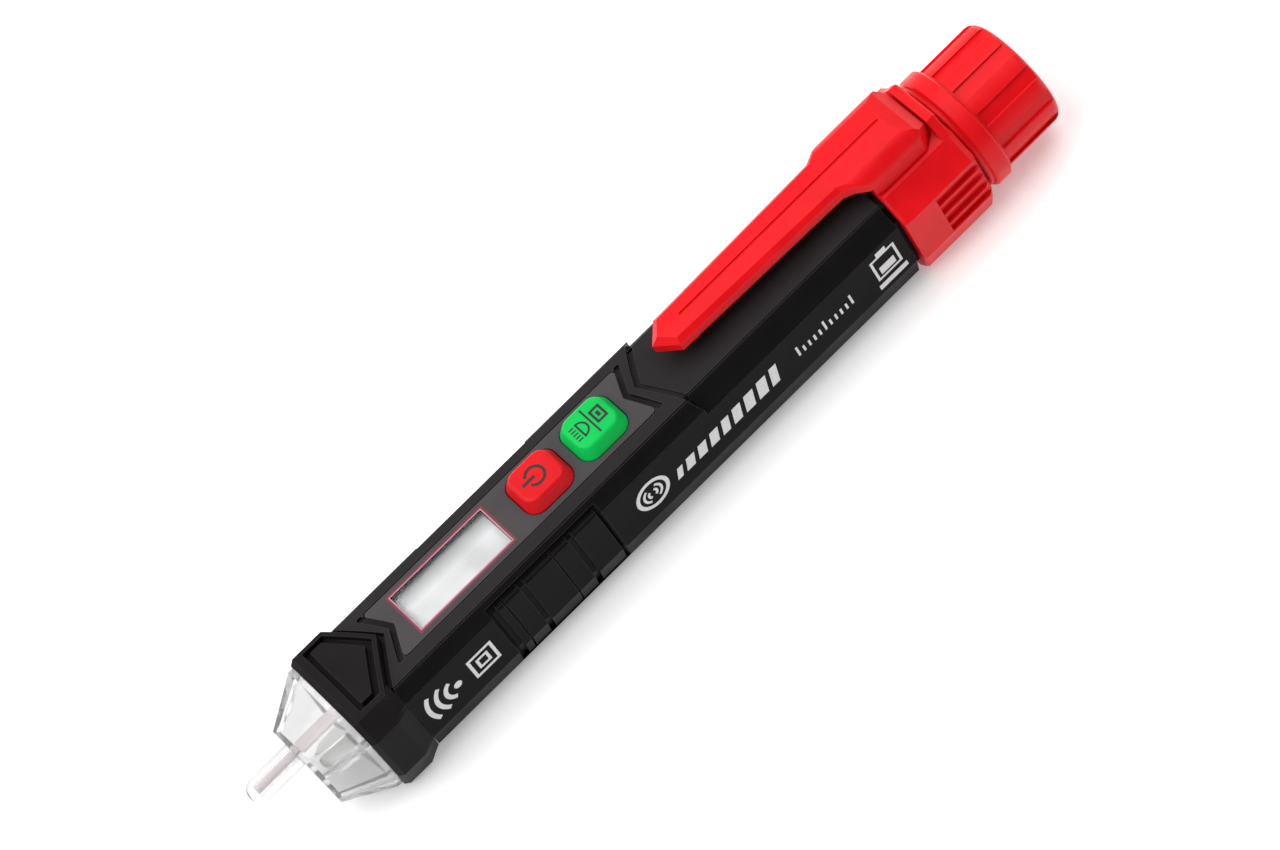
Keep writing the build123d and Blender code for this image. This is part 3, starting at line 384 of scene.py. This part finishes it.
def on_face(u, v, height):
    """Places marks on the crowned display face; u runs to the battery end and v to the +Y side."""
    drop = CROWN_RADIUS - sqrt(CROWN_RADIUS**2 - v**2)
    return (u, v, FACE_TOP_Z - drop + height)


def power_icon():
    """Standby symbol: an open ring with a bar through its gap."""
    ring = arc_band((0, 0), 1.35, 1.85, -150, 150)
    bar = rectangle(-2.5, -0.1, -0.27, 0.27)
    print_mark("power_icon", [ring, bar], on_key("power_button"), "ink_dark", "power_key")


def mode_icons():
    """Torch symbol with rays, a divider, and a plain framed square for the sensitivity setting."""
    stroke = 0.32
    lamp = arc_band((-1.75, 0), 1.15, 1.15 + stroke, -90, 90)
    lens = rectangle(-1.95, -1.95 + stroke, -1.47, 1.47)
    rays = []
    for i in range(-2, 3):
        y = 0.62 * i
        rays.append(rectangle(-3.1, -2.2, y - 0.12, y + 0.12, -0.12))
    divider = rectangle(0.1, 0.1 + stroke, -2.7, 2.7)
    square = frame_bands(0.85, 2.95, -1.35, 1.35, 0.42)
    dot = rectangle(1.6, 2.2, -0.5, 0.5)
    outlines = [lamp, lens, *rays, divider, *square, dot]
    print_mark("mode_icons", outlines, on_key("mode_button"), "ink_dark", "mode_key")


def sensing_waves():
    """A dot with three arcs that spread towards the probe."""
    source = (-46.2, 1.2)
    outlines = [arc_band(source, 0.0001, 0.75, 0, 359, 20)]
    for radius, spread in ((1.9, 62), (3.7, 46), (5.5, 32)):
        outlines.append(arc_band(source, radius, radius + 0.8, 180 - spread, 180 + spread))
    return outlines


def nested_squares():
    """A framed square in a larger frame."""
    return frame_bands(-43.4, -38.4, -1.4, 3.7, 0.55) + frame_bands(-42.1, -39.7, -0.1, 2.4, 0.5)


def ring_emblem():
    """A ring round two pairs of arcs."""
    centre = (-5.5, 1.0)
    outlines = [arc_band(centre, 2.5, 3.2, 0, 359.5, 48)]
    for inner in (0.55, 1.45):
        outlines.append(arc_band(centre, inner, inner + 0.45, -60, 60))
        outlines.append(arc_band(centre, inner, inner + 0.45, 120, 240))
    return outlines


def level_bars():
    """Slanted bars that rise towards the battery end."""
    outlines = []
    x = -1.2
    for i, width in enumerate((1.1, 1.7, 1.7, 1.7, 1.5, 1.7, 1.9, 1.9, 1.5)):
        outlines.append(rectangle(x, x + width, -1.3, 1.1 + 0.22 * i, 0.75))
        x += width + 0.85
    return outlines


def ticks():
    """A short scale, with every fifth tick longer."""
    outlines = []
    for i in range(11):
        height = 2.4 if i % 5 == 0 else 1.4
        start = 24.8 + 1.12 * i
        outlines.append(rectangle(start, start + 0.4, -0.4, height - 0.4))
    return outlines


def battery_mark():
    """An upright battery, part full, over a bar."""
    case = frame_bands(41.4, 46.4, -1.2, 4.0, 0.45)
    nub = rectangle(42.9, 44.9, 4.0, 4.9)
    charge = rectangle(42.4, 45.4, -0.3, 1.4)
    bar = rectangle(41.0, 46.8, -3.3, -2.2)
    return [*case, nub, charge, bar]


def side_marks():
    """Plain graphic marks on the side, from the probe end to the battery end."""
    groups = {
        "side_marks_front": sensing_waves() + nested_squares(),
        "side_marks_middle": ring_emblem() + level_bars(),
        "side_marks_rear": ticks() + battery_mark(),
    }
    for name, outlines in groups.items():
        print_mark(name, outlines, on_side, "ink_white", "housing")


def window_border(name, grow, width, look):
    """Thin line printed around the display window, following the crowned face."""
    low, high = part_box("lcd_window")
    x0, x1 = low[0] / MM - grow, high[0] / MM + grow
    y0, y1 = low[1] / MM - grow, high[1] / MM + grow
    outlines = [rectangle(x0, x1, y0, y0 + width), rectangle(x0, x1, y1 - width, y1)]
    steps = 12
    pitch = (y1 - y0 - 2 * width) / steps
    for x in (x0, x1 - width):
        for i in range(steps):
            start = y0 + width + pitch * i
            outlines.append(rectangle(x, x + width, start, start + pitch))
    print_mark(name, outlines, on_face, look, "housing")


power_icon()
mode_icons()
side_marks()
window_border("window_border", 0.62, 0.38, "ink_crimson")
window_border("window_border_inner", 0.24, 0.22, "ink_pink")


# ---- stage, light and camera --------------------------------------------------------------------------
FLOOR_REACH = 3.0
FLOOR_DROP = 0.05 * MM

# direction from the tester to the camera, the turn of the picture, and the lens
ELEVATION = radians(56.0)
TURN = radians(5.686)
ROLL = radians(44.519)
DISTANCE = 0.85908
LENS = 161.2
SENSOR = 36.0
TARGET = (0.662 * MM, 0, AXIS_Z + 2.541 * MM)


def floor():
    """Plain pale surface that the tester lies on."""
    mesh = bpy.data.meshes.new("floor")
    corners = [(x * FLOOR_REACH, y * FLOOR_REACH, 0) for x, y in ((-1, -1), (1, -1), (1, 1), (-1, 1))]
    mesh.from_pydata(corners, [], [(0, 1, 2, 3)])
    material, _, bsdf = shader(
        "floor_white", (0.85, 0.85, 0.85), 0.8, Emission_Strength=0.3, Specular_IOR_Level=0.1
    )
    bsdf.inputs["Emission Color"].default_value = (1, 1, 1, 1)
    mesh.materials.append(material)
    piece = bpy.data.objects.new("floor", mesh)
    piece.location.z = -FLOOR_DROP
    bpy.context.scene.collection.objects.link(piece)


def area_light(name, position, size, power):
    """Square soft light aimed at the tester."""
    data = bpy.data.lights.new(name, "AREA")
    data.shape = "RECTANGLE"
    data.size = size
    data.size_y = size
    data.energy = power
    lamp = bpy.data.objects.new(name, data)
    lamp.location = position
    lamp.rotation_euler = (-Vector(position)).to_track_quat("-Z", "Y").to_euler()
    bpy.context.scene.collection.objects.link(lamp)


def world(dark, bright):
    """Plain surroundings, brighter overhead and behind the tester than on the -Y side."""
    surroundings = bpy.data.worlds.new("studio")
    surroundings.use_nodes = True
    tree = surroundings.node_tree
    background = tree.nodes["Background"]
    background.inputs["Color"].default_value = (1, 1, 1, 1)
    coords = tree.nodes.new("ShaderNodeTexCoord")
    split = tree.nodes.new("ShaderNodeSeparateXYZ")
    tree.links.new(coords.outputs["Generated"], split.inputs["Vector"])
    strength = remap(tree, split.outputs["Y"], -0.7, 0.5, dark, bright)
    tree.links.new(strength, background.inputs["Strength"])
    bpy.context.scene.world = surroundings


def camera():
    """Long-lens camera above the -Y side, rolled so that the tester runs up to the right."""
    back = Vector((-sin(TURN), -cos(TURN) * cos(ELEVATION), cos(TURN) * sin(ELEVATION)))
    along = Vector((1, 0, 0)) - back * back.x
    along.normalize()
    across = back.cross(along)
    right = cos(ROLL) * along - sin(ROLL) * across
    up = sin(ROLL) * along + cos(ROLL) * across
    data = bpy.data.cameras.new("camera")
    data.lens = LENS
    data.sensor_width = SENSOR
    data.clip_start = 0.01
    viewer = bpy.data.objects.new("camera", data)
    rotation = Matrix((right, up, back)).transposed().to_4x4()
    viewer.matrix_world = Matrix.Translation(Vector(TARGET) + back * DISTANCE) @ rotation
    bpy.context.scene.collection.objects.link(viewer)
    bpy.context.scene.camera = viewer


floor()
world(0.15, 0.85)
area_light("key", (-0.55, 0.15, 1.0), 1.1, 11)
area_light("rear", (0.55, 0.0, 1.05), 0.9, 5)
camera()
bpy.context.scene.view_settings.view_transform = "Standard"
